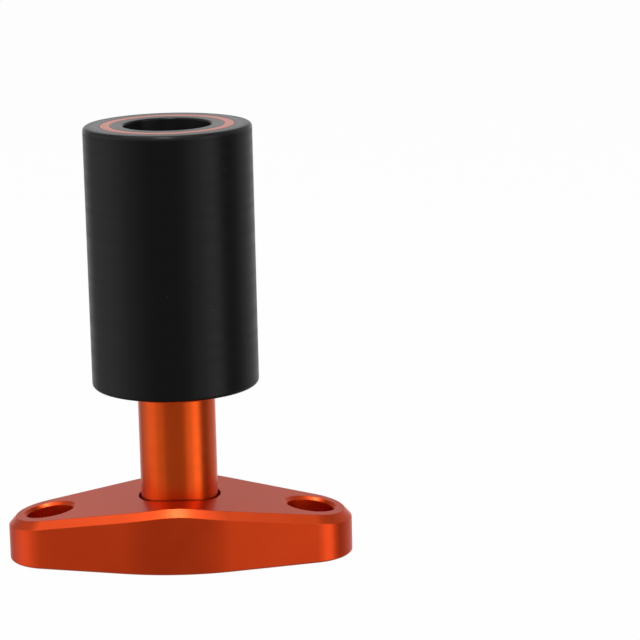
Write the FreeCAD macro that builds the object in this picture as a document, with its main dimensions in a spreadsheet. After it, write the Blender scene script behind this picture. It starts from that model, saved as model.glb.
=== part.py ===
import FreeCAD, Part
import math
import os
import Sketcher

# Frame slider for a motorcycle: a black plastic puck with an inlaid metal ring, a flanged spacer tube
# and a mounting plate, held together by one socket head screw down the puck's bore.
# The origin is the middle of the plate's flat mounting face, +Z runs along the screw towards the
# puck's outer end, and X runs along the plate. Lengths are in millimetres and angles in degrees.

SIZES = (
    # Mounting plate, seen from above a long diamond with round ends
    ("plate_length", 104.0),
    ("plate_width", 45.4),
    ("plate_end_radius", 14.0),
    ("plate_corner_radius", 60.0),
    # Its upper side falls from a rounded ridge towards both ends
    ("ridge_thickness", 20.0),
    ("ridge_radius", 42.0),
    ("slope_angle", 8.3),
    ("plate_bevel", 2.2),
    ("mounting_edge_chamfer", 0.5),
    # Two screws fix it to the motorcycle's frame
    ("screw_end_distance", 12.5),
    ("screw_hole_diameter", 9.0),
    ("screw_seat_diameter", 14.0),
    ("screw_seat_thickness", 6.0),
    ("screw_seat_chamfer", 0.9),
    ("frame_side_chamfer", 0.5),
    # Round seat of the spacer in the ridge
    ("spacer_seat_depth", 3.2),
    ("spacer_seat_clearance", 0.8),
    # Spacer tube with its flange against the puck
    ("spacer_length", 36.5),
    ("spacer_diameter", 23.2),
    ("flange_diameter", 32.8),
    ("flange_thickness", 2.2),
    ("flange_fillet", 1.0),
    ("spacer_edge_chamfer", 0.3),
    # Puck
    ("puck_diameter", 50.0),
    ("puck_length", 78.4),
    ("puck_edge_radius", 1.2),
    ("puck_bore_diameter", 26.0),
    ("puck_bore_chamfer", 0.6),
    ("puck_web_thickness", 12.0),
    # Ring let into the puck's outer end
    ("ring_outer_diameter", 39.7),
    ("ring_width", 2.9),
    ("ring_depth", 3.0),
    ("ring_clearance", 0.05),
    ("ring_edge_chamfer", 0.15),
    # Clamp screw, with its thread as a plain cylinder of the mean thread diameter
    ("bolt_diameter", 10.0),
    ("bolt_hole_clearance", 0.25),
    ("thread_mean_diameter", 9.0),
    ("thread_clearance", 0.05),
    ("thread_length", 32.0),
    ("thread_engagement", 14.5),
    ("bolt_tip_chamfer", 1.0),
    ("bolt_head_diameter", 16.0),
    ("bolt_head_height", 10.0),
    ("bolt_head_chamfer", 0.8),
    ("hex_key_size", 8.0),
    ("hex_key_depth", 5.0),
    # Washer under its head, at the foot of the puck's bore
    ("washer_clearance", 0.5),
    ("washer_thickness", 2.0),
    ("washer_chamfer", 0.3),
)

# Sizes that follow from the ones above
DERIVED = (
    ("screw_spacing", "=plate_length - 2 * screw_end_distance"),
    ("ring_inner_diameter", "=ring_outer_diameter - 2 * ring_width"),
    ("washer_diameter", "=puck_bore_diameter - 2 * washer_clearance"),
    ("bolt_hole_radius", "=bolt_diameter / 2 + bolt_hole_clearance"),
    ("tapped_hole_diameter", "=thread_mean_diameter + 2 * thread_clearance"),
    ("spacer_seat_diameter", "=spacer_diameter + 2 * spacer_seat_clearance"),
    ("spacer_base", "=ridge_thickness - spacer_seat_depth"),
    ("puck_base", "=spacer_base + spacer_length"),
    ("ring_base", "=puck_base + puck_length - ring_depth"),
    ("washer_base", "=puck_base + puck_web_thickness"),
    ("bolt_base", "=washer_base + washer_thickness"),
    ("bolt_reach", "=bolt_base - spacer_base + thread_engagement"),
)

ORIGIN = (-1, 1)
CUT_MARGIN = 5.0
MATCH = 0.01

doc = FreeCAD.newDocument("frame_slider")


def fill_sheet():
    """Put every size in the sheet under its own name."""
    sheet = doc.addObject("Spreadsheet::Sheet", "sizes")
    for row, (alias, value) in enumerate(SIZES + DERIVED, start=1):
        sheet.set(f"A{row}", alias)
        sheet.set(f"B{row}", str(value))
        sheet.setAlias(f"B{row}", alias)
    doc.recompute()
    return sheet


sheet = fill_sheet()


def named(text):
    """Write an expression over the sheet's names as one that other objects can hold."""
    words = []
    for word in text.split():
        known = any(word == alias for alias, value in SIZES + DERIVED)
        words.append(f"sizes.{word}" if known else word)
    return " ".join(words)


def size(alias):
    """Present value of one size."""
    return float(getattr(sheet, alias))


def axis(letter):
    """The sketch's own X or Y axis."""
    return {"X": -1, "Y": -2}[letter]


def start_of(index):
    """First point of a sketch's element."""
    return index, 1


def end_of(index):
    """Last point of a sketch's element."""
    return index, 2


def centre_of(index):
    """Centre of a sketch's circle or arc."""
    return index, 3


def new_body(label, base=None):
    """Start a sub-part, lifted to its place along the screw."""
    body = doc.addObject("PartDesign::Body", label)
    body.Label = label
    if base:
        body.setExpression(".Placement.Base.z", named(base))
    return body


def new_sketch(body, role, name, height=None):
    """Start a sketch on one of the body's own origin planes, raised by height."""
    sketch = body.newObject("Sketcher::SketchObject", name)
    plane = next(item for item in body.Origin.OriginFeatures if item.Role == role)
    sketch.AttachmentSupport = [(plane, "")]
    sketch.MapMode = "FlatFace"
    if height:
        sketch.setExpression(".AttachmentOffset.Base.z", named(height))
    return sketch


def bind(sketch, kind, items, start_value, text):
    """Add a dimension to a sketch and tie it to the sheet."""
    index = sketch.addConstraint(Sketcher.Constraint(kind, *items, start_value))
    sketch.setExpression(f"Constraints[{index}]", named(text))


def evaluate(text):
    """Work out a sum of sizes, halved where the text says so, for a sketch's first drawing."""
    total = 0.0
    for term in text.replace("- ", "+ -").split("+"):
        sign = -1.0 if term.strip().startswith("-") else 1.0
        parts = term.strip(" -").split(" / ")
        value = float(parts[0]) if parts[0].isdigit() else size(parts[0])
        divisor = float(parts[1]) if len(parts) > 1 else 1.0
        total += sign * value / divisor
    return total


def draw_polygon(sketch, corners):
    """Draw a closed outline whose corners are pairs of expressions, '0' being on an axis."""
    places = []
    for across, up in corners:
        x = 0.0 if across == "0" else evaluate(across)
        y = 0.0 if up == "0" else evaluate(up)
        places.append(FreeCAD.Vector(x, y, 0))
    count = len(places)
    for index in range(count):
        sketch.addGeometry(Part.LineSegment(places[index], places[(index + 1) % count]))
    for index in range(count):
        following = (index + 1) % count
        sketch.addConstraint(Sketcher.Constraint("Coincident", *end_of(index), *start_of(following)))
    for index, (across, up) in enumerate(corners):
        if across == "0":
            sketch.addConstraint(Sketcher.Constraint("PointOnObject", *start_of(index), axis("Y")))
        else:
            bind(sketch, "DistanceX", (*ORIGIN, *start_of(index)), places[index].x, across)
        if up == "0":
            sketch.addConstraint(Sketcher.Constraint("PointOnObject", *start_of(index), axis("X")))
        else:
            bind(sketch, "DistanceY", (*ORIGIN, *start_of(index)), places[index].y, up)


def draw_circle(sketch, diameter):
    """Draw a circle about the sketch's origin."""
    circle = Part.Circle(FreeCAD.Vector(0, 0, 0), FreeCAD.Vector(0, 0, 1), evaluate(diameter) / 2)
    index = sketch.addGeometry(circle)
    sketch.addConstraint(Sketcher.Constraint("Coincident", *centre_of(index), *ORIGIN))
    bind(sketch, "Diameter", (index,), evaluate(diameter), diameter)


def draw_circle_pair(sketch, diameter, spacing):
    """Draw two equal circles on the X axis, the same distance each side of the origin."""
    half = evaluate(spacing) / 2
    for place in (half, -half):
        circle = Part.Circle(FreeCAD.Vector(place, 0, 0), FreeCAD.Vector(0, 0, 1), evaluate(diameter) / 2)
        sketch.addGeometry(circle)
    sketch.addConstraint(Sketcher.Constraint("PointOnObject", *centre_of(0), axis("X")))
    sketch.addConstraint(Sketcher.Constraint("Symmetric", *centre_of(0), *centre_of(1), *ORIGIN))
    sketch.addConstraint(Sketcher.Constraint("Equal", 0, 1))
    bind(sketch, "Diameter", (0,), evaluate(diameter), diameter)
    bind(sketch, "DistanceX", (*centre_of(1), *centre_of(0)), 2 * half, spacing)


def pad(body, sketch, name, length):
    """Extrude a sketch upwards."""
    feature = body.newObject("PartDesign::Pad", name)
    feature.Profile = sketch
    feature.setExpression("Length", named(length))
    doc.recompute()
    return feature


def cut_through(body, sketch, name, upwards):
    """Cut a sketch right through everything on one side of it."""
    feature = body.newObject("PartDesign::Pocket", name)
    feature.Profile = sketch
    feature.Type = "ThroughAll"
    feature.Reversed = upwards
    doc.recompute()
    return feature


def revolve(body, sketch, name):
    """Turn a profile once round the Z axis."""
    feature = body.newObject("PartDesign::Revolution", name)
    feature.Profile = sketch
    feature.ReferenceAxis = (sketch, ["V_Axis"])
    feature.Angle = 360.0
    doc.recompute()
    return feature


def edges_of(feature, wanted):
    """Names of a feature's edges that pass a test of their bounding box and length."""
    return [f"Edge{index}" for index, edge in enumerate(feature.Shape.Edges, start=1) if wanted(edge)]


def break_edges(body, kind, name, base, wanted, amount):
    """Chamfer or fillet the edges of the last feature that pass a test."""
    feature = body.newObject(f"PartDesign::{kind}", name)
    feature.Base = (base, edges_of(base, wanted))
    feature.setExpression("Size" if kind == "Chamfer" else "Radius", named(amount))
    doc.recompute()
    return feature


def circle_at(diameter, height):
    """Test for a full circle about the Z axis, of one diameter and one height above the piece's base."""
    def wanted(edge):
        box = edge.BoundBox
        flat = box.ZLength < MATCH and abs(box.ZMin - height) < MATCH
        return flat and abs(box.XLength - diameter) < MATCH and abs(box.YLength - diameter) < MATCH
    return wanted


def draw_plate_outline(sketch):
    """Draw the long diamond: two end arcs and two corner arcs joined by tangent lines."""
    end_radius = size("plate_end_radius")
    corner_radius = size("plate_corner_radius")
    end_place = size("plate_length") / 2 - end_radius
    corner_place = size("plate_width") / 2 - corner_radius
    # The side's normal leans by this angle from Y, so that one line touches both arcs
    reach = math.hypot(end_place, corner_place)
    lean = math.asin((corner_radius - end_radius) / reach) + math.atan2(corner_place, end_place)
    quarter = math.pi / 2
    centres = (
        FreeCAD.Vector(end_place, 0, 0),
        FreeCAD.Vector(0, corner_place, 0),
        FreeCAD.Vector(-end_place, 0, 0),
        FreeCAD.Vector(0, -corner_place, 0),
    )
    radii = (end_radius, corner_radius, end_radius, corner_radius)
    side = quarter - lean
    spans = (
        (-side, side),
        (side, math.pi - side),
        (math.pi - side, math.pi + side),
        (math.pi + side, 2 * math.pi - side),
    )
    arcs = []
    for centre, radius, (first, last) in zip(centres, radii, spans):
        circle = Part.Circle(centre, FreeCAD.Vector(0, 0, 1), radius)
        arcs.append(Part.ArcOfCircle(circle, first, last))
        sketch.addGeometry(arcs[-1])
    for index in range(4):
        following = arcs[(index + 1) % 4]
        sketch.addGeometry(Part.LineSegment(arcs[index].EndPoint, following.StartPoint))
    for index in range(4):
        line = 4 + index
        sketch.addConstraint(Sketcher.Constraint("Tangent", *end_of(index), *start_of(line)))
        sketch.addConstraint(Sketcher.Constraint("Tangent", *end_of(line), *start_of((index + 1) % 4)))
    sketch.addConstraint(Sketcher.Constraint("PointOnObject", *centre_of(0), axis("X")))
    sketch.addConstraint(Sketcher.Constraint("PointOnObject", *centre_of(1), axis("Y")))
    sketch.addConstraint(Sketcher.Constraint("Symmetric", *centre_of(0), *centre_of(2), *ORIGIN))
    sketch.addConstraint(Sketcher.Constraint("Symmetric", *centre_of(1), *centre_of(3), *ORIGIN))
    sketch.addConstraint(Sketcher.Constraint("Equal", 0, 2))
    sketch.addConstraint(Sketcher.Constraint("Equal", 1, 3))
    bind(sketch, "Radius", (0,), end_radius, "plate_end_radius")
    bind(sketch, "Radius", (1,), corner_radius, "plate_corner_radius")
    along = "plate_length / 2 - plate_end_radius"
    across = "plate_corner_radius - plate_width / 2"
    bind(sketch, "DistanceX", (*ORIGIN, *centre_of(0)), end_place, along)
    bind(sketch, "DistanceY", (*centre_of(1), *ORIGIN), -corner_place, across)


def draw_roof(sketch):
    """Draw what is cut away above the ridge and the two slopes."""
    slope = math.radians(size("slope_angle"))
    radius = size("ridge_radius")
    top = size("ridge_thickness")
    half = size("plate_length") / 2 + CUT_MARGIN
    ridge = Part.ArcOfCircle(
        Part.Circle(FreeCAD.Vector(0, top - radius, 0), FreeCAD.Vector(0, 0, 1), radius),
        math.pi / 2 - slope,
        math.pi / 2 + slope,
    )
    right, left = ridge.StartPoint, ridge.EndPoint
    low = right.y - (half - right.x) * math.tan(slope)
    low_right, low_left = FreeCAD.Vector(half, low, 0), FreeCAD.Vector(-half, low, 0)
    high_right = FreeCAD.Vector(half, top + CUT_MARGIN, 0)
    high_left = FreeCAD.Vector(-half, top + CUT_MARGIN, 0)
    sketch.addGeometry(ridge)
    sketch.addGeometry(Part.LineSegment(right, low_right))
    sketch.addGeometry(Part.LineSegment(low_right, high_right))
    sketch.addGeometry(Part.LineSegment(high_right, high_left))
    sketch.addGeometry(Part.LineSegment(high_left, low_left))
    sketch.addGeometry(Part.LineSegment(low_left, left))
    sketch.addConstraint(Sketcher.Constraint("Tangent", *start_of(0), *start_of(1)))
    sketch.addConstraint(Sketcher.Constraint("Tangent", *end_of(0), *end_of(5)))
    for first, second in ((1, 2), (2, 3), (3, 4), (4, 5)):
        sketch.addConstraint(Sketcher.Constraint("Coincident", *end_of(first), *start_of(second)))
    sketch.addConstraint(Sketcher.Constraint("Vertical", 2))
    sketch.addConstraint(Sketcher.Constraint("Horizontal", 3))
    sketch.addConstraint(Sketcher.Constraint("Vertical", 4))
    sketch.addConstraint(Sketcher.Constraint("PointOnObject", *centre_of(0), axis("Y")))
    sketch.addConstraint(Sketcher.Constraint("Symmetric", *end_of(1), *start_of(5), axis("Y")))
    bind(sketch, "Radius", (0,), radius, "ridge_radius")
    bind(sketch, "DistanceY", (*centre_of(0), *ORIGIN), radius - top, "ridge_radius - ridge_thickness")
    bind(sketch, "Angle", (1,), -slope, "0 - slope_angle")
    bind(sketch, "DistanceX", (*ORIGIN, *end_of(1)), half, f"plate_length / 2 + {CUT_MARGIN}")
    bind(sketch, "DistanceY", (*ORIGIN, *end_of(2)), top + CUT_MARGIN, f"ridge_thickness + {CUT_MARGIN}")


def build_mounting_plate():
    """Milled plate: round-ended diamond, two slopes, bevelled rim, three holes and the spacer's seat."""
    body = new_body("mounting_plate")
    outline = new_sketch(body, "XY_Plane", "plate_outline")
    draw_plate_outline(outline)
    blank = pad(body, outline, "plate_blank", "ridge_thickness")
    roof = new_sketch(body, "XZ_Plane", "roof_outline")
    draw_roof(roof)
    slopes = body.newObject("PartDesign::Pocket", "slopes")
    slopes.Profile = roof
    slopes.Type = "ThroughAll"
    slopes.Midplane = True
    doc.recompute()

    def upper_rim(edge):
        return edge.BoundBox.XLength > MATCH and edge.BoundBox.ZMin > MATCH

    def lower_rim(edge):
        return edge.BoundBox.XLength > MATCH and edge.BoundBox.ZMax < MATCH

    bevel = break_edges(body, "Chamfer", "rim_bevel", slopes, upper_rim, "plate_bevel")
    foot = break_edges(body, "Chamfer", "foot_chamfer", bevel, lower_rim, "mounting_edge_chamfer")

    seat = new_sketch(body, "XY_Plane", "spacer_seat_outline", "spacer_base")
    draw_circle(seat, "spacer_seat_diameter")
    cut_through(body, seat, "spacer_seat", True)
    screw_seats = new_sketch(body, "XY_Plane", "screw_seat_outlines", "screw_seat_thickness")
    draw_circle_pair(screw_seats, "screw_seat_diameter", "screw_spacing")
    cut_through(body, screw_seats, "screw_seats", True)
    screw_holes = new_sketch(body, "XY_Plane", "screw_hole_outlines")
    draw_circle_pair(screw_holes, "screw_hole_diameter", "screw_spacing")
    cut_through(body, screw_holes, "screw_holes", True)
    tapped = new_sketch(body, "XY_Plane", "tapped_hole_outline")
    draw_circle(tapped, "tapped_hole_diameter")
    holes = cut_through(body, tapped, "tapped_hole", True)

    def screw_seat_rim(edge):
        box = edge.BoundBox
        wide = abs(box.YLength - size("screw_seat_diameter")) < MATCH
        return wide and box.ZMin > size("screw_seat_thickness") + MATCH

    def frame_side_rim(edge):
        return edge.isClosed() and edge.BoundBox.ZMax < MATCH

    seats = break_edges(body, "Chamfer", "screw_seat_rims", holes, screw_seat_rim, "screw_seat_chamfer")
    break_edges(body, "Chamfer", "frame_side_rims", seats, frame_side_rim, "frame_side_chamfer")
    return body


def build_flanged_spacer():
    """Turned tube that holds the puck off the plate, with a flange that spreads the load on it."""
    body = new_body("flanged_spacer", "spacer_base")
    profile = new_sketch(body, "XZ_Plane", "spacer_profile")
    draw_polygon(profile, (
        ("bolt_hole_radius", "0"),
        ("spacer_diameter / 2", "0"),
        ("spacer_diameter / 2", "spacer_length - flange_thickness"),
        ("flange_diameter / 2", "spacer_length - flange_thickness"),
        ("flange_diameter / 2", "spacer_length"),
        ("bolt_hole_radius", "spacer_length"),
    ))
    turned = revolve(body, profile, "spacer_turning")
    step = size("spacer_length") - size("flange_thickness")
    root = circle_at(size("spacer_diameter"), step)
    rounded = break_edges(body, "Fillet", "flange_root", turned, root, "flange_fillet")
    rims = (
        circle_at(size("spacer_diameter"), 0),
        circle_at(size("flange_diameter"), step),
        circle_at(size("flange_diameter"), size("spacer_length")),
    )
    break_edges(body, "Chamfer", "spacer_rims", rounded,
                lambda edge: any(rim(edge) for rim in rims), "spacer_edge_chamfer")
    return body


def build_puck():
    """Turned plastic puck: deep bore for the screw's head, a web that is clamped, a groove for the ring."""
    body = new_body("puck", "puck_base")
    profile = new_sketch(body, "XZ_Plane", "puck_profile")
    draw_polygon(profile, (
        ("bolt_hole_radius", "0"),
        ("puck_diameter / 2", "0"),
        ("puck_diameter / 2", "puck_length"),
        ("puck_bore_diameter / 2", "puck_length"),
        ("puck_bore_diameter / 2", "puck_web_thickness"),
        ("bolt_hole_radius", "puck_web_thickness"),
    ))
    turned = revolve(body, profile, "puck_turning")
    ends = (circle_at(size("puck_diameter"), 0), circle_at(size("puck_diameter"), size("puck_length")))
    rounded = break_edges(body, "Fillet", "puck_ends", turned,
                          lambda edge: any(end(edge) for end in ends), "puck_edge_radius")
    mouth = circle_at(size("puck_bore_diameter"), size("puck_length"))
    break_edges(body, "Chamfer", "bore_mouth", rounded, mouth, "puck_bore_chamfer")
    groove_profile = new_sketch(body, "XZ_Plane", "ring_groove_profile")
    draw_polygon(groove_profile, (
        ("ring_inner_diameter / 2 - ring_clearance", "puck_length - ring_depth"),
        ("ring_outer_diameter / 2 + ring_clearance", "puck_length - ring_depth"),
        ("ring_outer_diameter / 2 + ring_clearance", "puck_length"),
        ("ring_inner_diameter / 2 - ring_clearance", "puck_length"),
    ))
    groove = body.newObject("PartDesign::Groove", "ring_groove")
    groove.Profile = groove_profile
    groove.ReferenceAxis = (groove_profile, ["V_Axis"])
    groove.Angle = 360.0
    doc.recompute()
    return body


def build_accent_ring():
    """Metal ring let into the puck's outer end, flush with it."""
    body = new_body("accent_ring", "ring_base")
    outline = new_sketch(body, "XY_Plane", "ring_outline")
    draw_circle(outline, "ring_outer_diameter")
    draw_circle(outline, "ring_inner_diameter")
    band = pad(body, outline, "ring_band", "ring_depth")
    rims = (
        circle_at(size("ring_outer_diameter"), size("ring_depth")),
        circle_at(size("ring_inner_diameter"), size("ring_depth")),
    )
    break_edges(body, "Chamfer", "ring_rims", band,
                lambda edge: any(rim(edge) for rim in rims), "ring_edge_chamfer")
    return body


def build_bolt_washer():
    """Wide washer that spreads the screw head's force over the puck's web."""
    body = new_body("bolt_washer", "washer_base")
    profile = new_sketch(body, "XZ_Plane", "washer_profile")
    draw_polygon(profile, (
        ("bolt_hole_radius", "0"),
        ("washer_diameter / 2", "0"),
        ("washer_diameter / 2", "washer_thickness"),
        ("bolt_hole_radius", "washer_thickness"),
    ))
    turned = revolve(body, profile, "washer_turning")
    rim = circle_at(size("washer_diameter"), size("washer_thickness"))
    break_edges(body, "Chamfer", "washer_rim", turned, rim, "washer_chamfer")
    return body


def build_clamp_bolt():
    """Socket head screw that clamps washer, puck and spacer to the plate."""
    body = new_body("clamp_bolt", "bolt_base")
    profile = new_sketch(body, "XZ_Plane", "bolt_profile")
    draw_polygon(profile, (
        ("0", "0 - bolt_reach"),
        ("thread_mean_diameter / 2 - bolt_tip_chamfer", "0 - bolt_reach"),
        ("thread_mean_diameter / 2", "0 - bolt_reach + bolt_tip_chamfer"),
        ("thread_mean_diameter / 2", "0 - bolt_reach + thread_length"),
        ("bolt_diameter / 2", "0 - bolt_reach + thread_length"),
        ("bolt_diameter / 2", "0"),
        ("bolt_head_diameter / 2", "0"),
        ("bolt_head_diameter / 2", "bolt_head_height - bolt_head_chamfer"),
        ("bolt_head_diameter / 2 - bolt_head_chamfer", "bolt_head_height"),
        ("0", "bolt_head_height"),
    ))
    revolve(body, profile, "bolt_turning")
    hexagon = new_sketch(body, "XY_Plane", "hex_outline", "bolt_head_height")
    draw_hexagon(hexagon, "hex_key_size")
    socket = body.newObject("PartDesign::Pocket", "hex_socket")
    socket.Profile = hexagon
    socket.setExpression("Length", named("hex_key_depth"))
    doc.recompute()
    return body


def draw_hexagon(sketch, across_flats):
    """Draw a regular hexagon by its size across flats, with two corners on the X axis."""
    corner = evaluate(across_flats) / 2 / math.cos(math.pi / 6)
    places = [FreeCAD.Vector(corner * math.cos(turn * math.pi / 3), corner * math.sin(turn * math.pi / 3), 0)
              for turn in range(6)]
    for index in range(6):
        sketch.addGeometry(Part.LineSegment(places[index], places[(index + 1) % 6]))
    circle = Part.Circle(FreeCAD.Vector(0, 0, 0), FreeCAD.Vector(0, 0, 1), corner)
    rim = sketch.addGeometry(circle, True)
    for index in range(6):
        sketch.addConstraint(Sketcher.Constraint("Coincident", *end_of(index), *start_of((index + 1) % 6)))
        sketch.addConstraint(Sketcher.Constraint("PointOnObject", *start_of(index), rim))
    for index in range(1, 6):
        sketch.addConstraint(Sketcher.Constraint("Equal", 0, index))
    sketch.addConstraint(Sketcher.Constraint("Coincident", *centre_of(rim), *ORIGIN))
    sketch.addConstraint(Sketcher.Constraint("Horizontal", 1))
    bind(sketch, "DistanceY", (*start_of(4), *start_of(1)), evaluate(across_flats), across_flats)


BODIES = (
    build_mounting_plate(),
    build_flanged_spacer(),
    build_puck(),
    build_accent_ring(),
    build_bolt_washer(),
    build_clamp_bolt(),
)
doc.recompute()

for item in doc.Objects:
    if "Invalid" in item.State or "Error" in item.State:
        raise RuntimeError(f"{item.Label} did not build: {item.State}")

for body in BODIES:
    if body.Shape.isNull() or not body.Shape.isValid() or len(body.Shape.Solids) != 1:
        raise RuntimeError(f"{body.Label} is not one sound solid")

os.makedirs("parts", exist_ok=True)
for body in BODIES:
    body.Shape.exportStep(f"parts/{body.Label}.step")
    box = body.Shape.BoundBox
    print(f"{body.Label}: {body.Shape.Volume / 1000:.2f} cm3, z {box.ZMin:.2f} to {box.ZMax:.2f}")
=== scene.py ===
import logging
import math
from collections.abc import Iterable
from dataclasses import dataclass, field
from enum import Enum

import bmesh
import bpy
from bmesh.types import BMEdge, BMesh, BMFace, BMVert
from bpy.types import Material, Node, NodeSocket, NodeTree, Object
from mathutils import Matrix, Vector

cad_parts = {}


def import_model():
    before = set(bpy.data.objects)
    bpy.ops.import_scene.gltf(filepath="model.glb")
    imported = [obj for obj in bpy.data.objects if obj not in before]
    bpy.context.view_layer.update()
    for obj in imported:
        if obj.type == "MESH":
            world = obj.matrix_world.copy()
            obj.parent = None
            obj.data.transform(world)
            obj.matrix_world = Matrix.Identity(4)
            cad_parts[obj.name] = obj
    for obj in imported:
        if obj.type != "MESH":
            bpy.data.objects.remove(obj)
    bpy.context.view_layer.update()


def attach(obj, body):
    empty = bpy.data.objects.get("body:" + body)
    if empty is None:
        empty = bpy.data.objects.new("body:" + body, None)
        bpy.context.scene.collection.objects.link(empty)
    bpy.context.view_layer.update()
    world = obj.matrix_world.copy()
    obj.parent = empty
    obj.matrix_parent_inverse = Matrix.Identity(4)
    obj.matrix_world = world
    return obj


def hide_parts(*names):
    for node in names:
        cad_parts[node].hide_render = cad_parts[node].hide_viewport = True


# Motorcycle frame slider: a bevelled mounting plate, a flanged spacer, a turned puck with a ring
# let into its end, and the screw that clamps them. The pieces' sizes are in millimetres. Meshes,
# finishes and the studio are in metres.

log = logging.getLogger("frame_slider")
MM = 0.001
MERGE = 1e-6
FULL_TURN = 2.0 * math.pi
Colour = tuple[float, float, float]
Groups = dict[str, NodeTree]


class Break(Enum):
    """How a corner of a turned or milled section is finished, with its number of facets."""

    SHARP = 0
    FLAT = 1
    ROUND = 4


@dataclass(frozen=True)
class Corner:
    """One corner of a section: distance from its axis or face, height, and how it is broken."""

    out: float
    up: float
    cut: float = 0.0
    finish: Break = Break.SHARP


class ToolMark(Enum):
    """Direction in which a cutter left its fine lines."""

    ROUND_THE_AXIS = "turned"
    ALL_ROUND = "blasted"


class PlateCut(Enum):
    """Cuts of the milled plate, in the order of its finishes: the bore and wall finishes are darker
    copies, painted shade.
    """

    FACE = 0
    BORE = 1
    WALL = 2


class PuckCut(Enum):
    """Cuts of the turned puck, in the order of its finishes: the bore and end finishes have a
    lighter base colour, painted light.
    """

    SIDE = 0
    BORE = 1
    END = 2


# ---------------------------------------------------------------------------------------------
# Shader node groups


class NodeBuilder:
    """Small helper that fills a node tree."""

    def __init__(self, tree: NodeTree) -> None:
        """Take the tree that is to be filled."""
        self.tree = tree

    def node(self, kind: str, **settings: object) -> Node:
        """Add a node.

        Args:
            kind: Blender's name for the type of node.
            **settings: Plain properties of the node.

        Returns:
            The node.
        """
        made = self.tree.nodes.new(kind)
        for key, value in settings.items():
            setattr(made, key, value)
        return made

    def link(self, start: NodeSocket, end: NodeSocket) -> None:
        """Join two sockets."""
        self.tree.links.new(start, end)

    def feed(self, socket: NodeSocket, value: object) -> None:
        """Give an input what it reads.

        Args:
            socket: The input.
            value: Socket, number or nothing.
        """
        if isinstance(value, NodeSocket):
            self.link(value, socket)
        elif value is not None:
            socket.default_value = value

    def math(self, operation: str, first: object, second: object = None) -> NodeSocket:
        """Add a Math node.

        Args:
            operation: Name of the operation.
            first: Socket or number.
            second: Socket, number or nothing.

        Returns:
            The node's output socket.
        """
        made = self.node("ShaderNodeMath", operation=operation)
        for socket, value in zip(made.inputs, (first, second)):
            self.feed(socket, value)
        return made.outputs[0]

    def split(self, place: NodeSocket) -> tuple[NodeSocket, ...]:
        """Split a place into its numbers along X, Y and Z.

        Args:
            place: Socket with the place.

        Returns:
            A socket for each number.
        """
        made = self.node("ShaderNodeSeparateXYZ")
        self.link(place, made.inputs[0])
        return tuple(made.outputs)

    def noise(self, place: NodeSocket, scale: object, detail: float,
              line: bool = False) -> NodeSocket:
        """Add a noise texture.

        Args:
            place: Socket with the place to read.
            scale: Socket or number.
            detail: How many finer layers it has.
            line: Whether the place is one number along a line.

        Returns:
            The noise's value, mostly between 0.3 and 0.7.
        """
        made = self.node("ShaderNodeTexNoise", noise_dimensions="1D" if line else "3D")
        self.feed(made.inputs["Scale"], scale)
        made.inputs["Detail"].default_value = detail
        self.link(place, made.inputs["W" if line else "Vector"])
        return made.outputs[0]

    def span(self, value: NodeSocket, low: float, high: float, start: float = 0.3,
             end: float = 0.7, smooth: bool = False) -> NodeSocket:
        """Map a value onto a span, and keep it within.

        Args:
            value: Socket with the value.
            low: Result at the value's start.
            high: Result at the value's end.
            start: Least value, by default a noise's.
            end: Greatest value, by default a noise's.
            smooth: Whether the ends ease in and out.

        Returns:
            The node's output socket.
        """
        made = self.node("ShaderNodeMapRange",
                         interpolation_type="SMOOTHSTEP" if smooth else "LINEAR")
        for name, number in (("From Min", start), ("From Max", end),
                             ("To Min", low), ("To Max", high)):
            made.inputs[name].default_value = number
        self.link(value, made.inputs["Value"])
        return made.outputs[0]


class GroupBuilder(NodeBuilder):
    """Small helper that fills a shader node group, fed with the position on the piece."""

    def __init__(self, name: str) -> None:
        """Start a group that takes the position.

        Args:
            name: Name of the group.
        """
        super().__init__(bpy.data.node_groups.new(name, "ShaderNodeTree"))
        self.source = self.node("NodeGroupInput")
        self.sink = self.node("NodeGroupOutput")
        self.tree.interface.new_socket("Position", in_out="INPUT", socket_type="NodeSocketVector")

    def takes(self, name: str, default: float) -> None:
        """Add an input for a number, with its value where it isn't fed."""
        made = self.tree.interface.new_socket(name, in_out="INPUT", socket_type="NodeSocketFloat")
        made.default_value = default

    def read(self, name: str) -> NodeSocket:
        """Find the socket that carries an input inside the group."""
        return self.source.outputs[name]

    def gives(self, name: str, value: NodeSocket) -> None:
        """Add an output for a number and feed it."""
        self.tree.interface.new_socket(name, in_out="OUTPUT", socket_type="NodeSocketFloat")
        self.link(value, self.sink.inputs[name])


def turning_lines_group() -> NodeTree:
    """Fine lines that run round the Z axis, as a lathe leaves them on sides and end faces.

    Returns:
        A group with a height between 0 and 1, and a slower band value for the roughness.
    """
    build = GroupBuilder("turning_lines")
    build.takes("Pitch", 0.0003)
    x, y, z = build.split(build.read("Position"))
    across = build.math("SQRT", build.math("ADD", build.math("MULTIPLY", x, x),
                                           build.math("MULTIPLY", y, y)))
    path = build.math("DIVIDE", build.math("ADD", across, z), build.read("Pitch"))
    for name, scale, detail in (("Height", 1.0, 3.0), ("Band", 0.06, 1.0)):
        build.gives(name, build.noise(path, scale, detail, line=True))
    return build.tree


def fine_grain_group() -> NodeTree:
    """Even grain of a blasted, moulded or etched skin, with a slow mottle under it.

    Returns:
        A group with a height between 0 and 1, and a mottle value.
    """
    build = GroupBuilder("fine_grain")
    build.takes("Grain size", 0.0002)
    build.takes("Mottle size", 0.008)
    for name, size in (("Height", "Grain size"), ("Mottle", "Mottle size")):
        scale = build.math("DIVIDE", 1.0, build.read(size))
        build.gives(name, build.noise(build.read("Position"), scale, 2.0))
    return build.tree


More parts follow.
